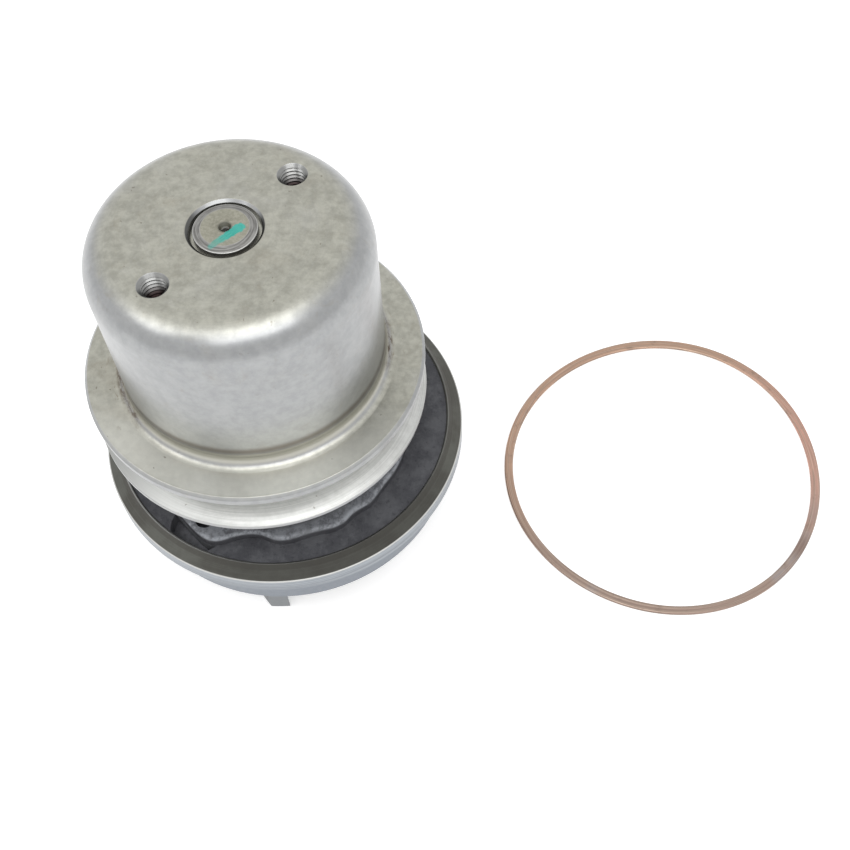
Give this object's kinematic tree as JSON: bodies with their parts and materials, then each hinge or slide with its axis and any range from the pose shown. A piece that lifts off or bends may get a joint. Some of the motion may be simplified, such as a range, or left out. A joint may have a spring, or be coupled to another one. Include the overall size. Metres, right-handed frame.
{
  "type": "water pump",
  "caption": "Engine coolant pump with a deep cup-shaped V-belt pulley, an eccentric round clamped flange, a bladed impeller and a loose flat seal ring.",
  "frame": {"origin": "on the axis of the round spigot, at the flange's flat seating face", "axes": "+Z along the shaft from the impeller to the pulley; +X towards the loose seal ring"},
  "size_m": [0.3495, 0.1744, 0.1938],
  "materials": {
    "cast_housing": "rough casting with turned rim",
    "machined_pulley": "satin turned",
    "ground_shaft": "ground",
    "cast_impeller": "cast",
    "copper_ring": "tarnished copper",
    "seal_rubber": "matt",
    "slinger_steel": "pressed",
    "seal_carbon": "lapped",
    "seal_ceramic": "lapped",
    "seal_brass": "pressed",
    "spring_steel": "oiled",
    "pressed_steel": "pressed",
    "bearing_steel": "ground and polished"
  },
  "bodies": {
    "housing": {"pump_housing": "cast_housing", "rear_bearing_outer_ring": "bearing_steel", "front_bearing_outer_ring": "bearing_steel", "rear_bearing_shields": "pressed_steel", "front_bearing_shields": "pressed_steel", "bearing_spacer_outer": "bearing_steel", "bearing_circlip": "spring_steel", "grease_seal_case": "pressed_steel", "grease_seal_lip": "seal_rubber", "seal_shell": "seal_brass", "seal_bellows": "seal_rubber", "seal_retainer": "seal_brass", "seal_spring": "spring_steel", "seal_carbon": "seal_carbon"},
    "rotor": {"drive_pulley": "machined_pulley", "shaft": "ground_shaft", "rear_bearing_inner_ring": "bearing_steel", "front_bearing_inner_ring": "bearing_steel", "bearing_spacer_inner": "bearing_steel", "slinger": "slinger_steel", "seal_seat": "seal_ceramic", "seal_seat_cup": "seal_rubber", "impeller": "cast_impeller"},
    "rear_cage_set": {"rear_bearing_balls": "bearing_steel", "rear_bearing_cage": "pressed_steel"},
    "front_cage_set": {"front_bearing_balls": "bearing_steel", "front_bearing_cage": "pressed_steel"},
    "seal_ring": {"flange_seal_ring": "copper_ring"}
  },
  "joints": [
    {"name": "shaft_spin", "type": "hinge", "parent": "housing", "child": "rotor", "pos_m": [-0.00411, -0.00566, 0.06], "axis": [0, 0, 1], "continuous": true},
    {"name": "rear_cage_orbit", "type": "hinge", "parent": "housing", "child": "rear_cage_set", "pos_m": [-0.00411, -0.00566, 0.0515], "axis": [0, 0, 1], "continuous": true},
    {"name": "front_cage_orbit", "type": "hinge", "parent": "housing", "child": "front_cage_set", "pos_m": [-0.00411, -0.00566, 0.0995], "axis": [0, 0, 1], "continuous": true},
    {"name": "seal_ring_lift", "type": "slide", "parent": "housing", "child": "seal_ring", "axis": [0, 0, 1], "range_m": [0, 0.15]}
  ],
  "couplings": [
    {"joint": "rear_cage_orbit", "follows": "shaft_spin", "ratio": 0.37},
    {"joint": "front_cage_orbit", "follows": "shaft_spin", "ratio": 0.37}
  ]
}
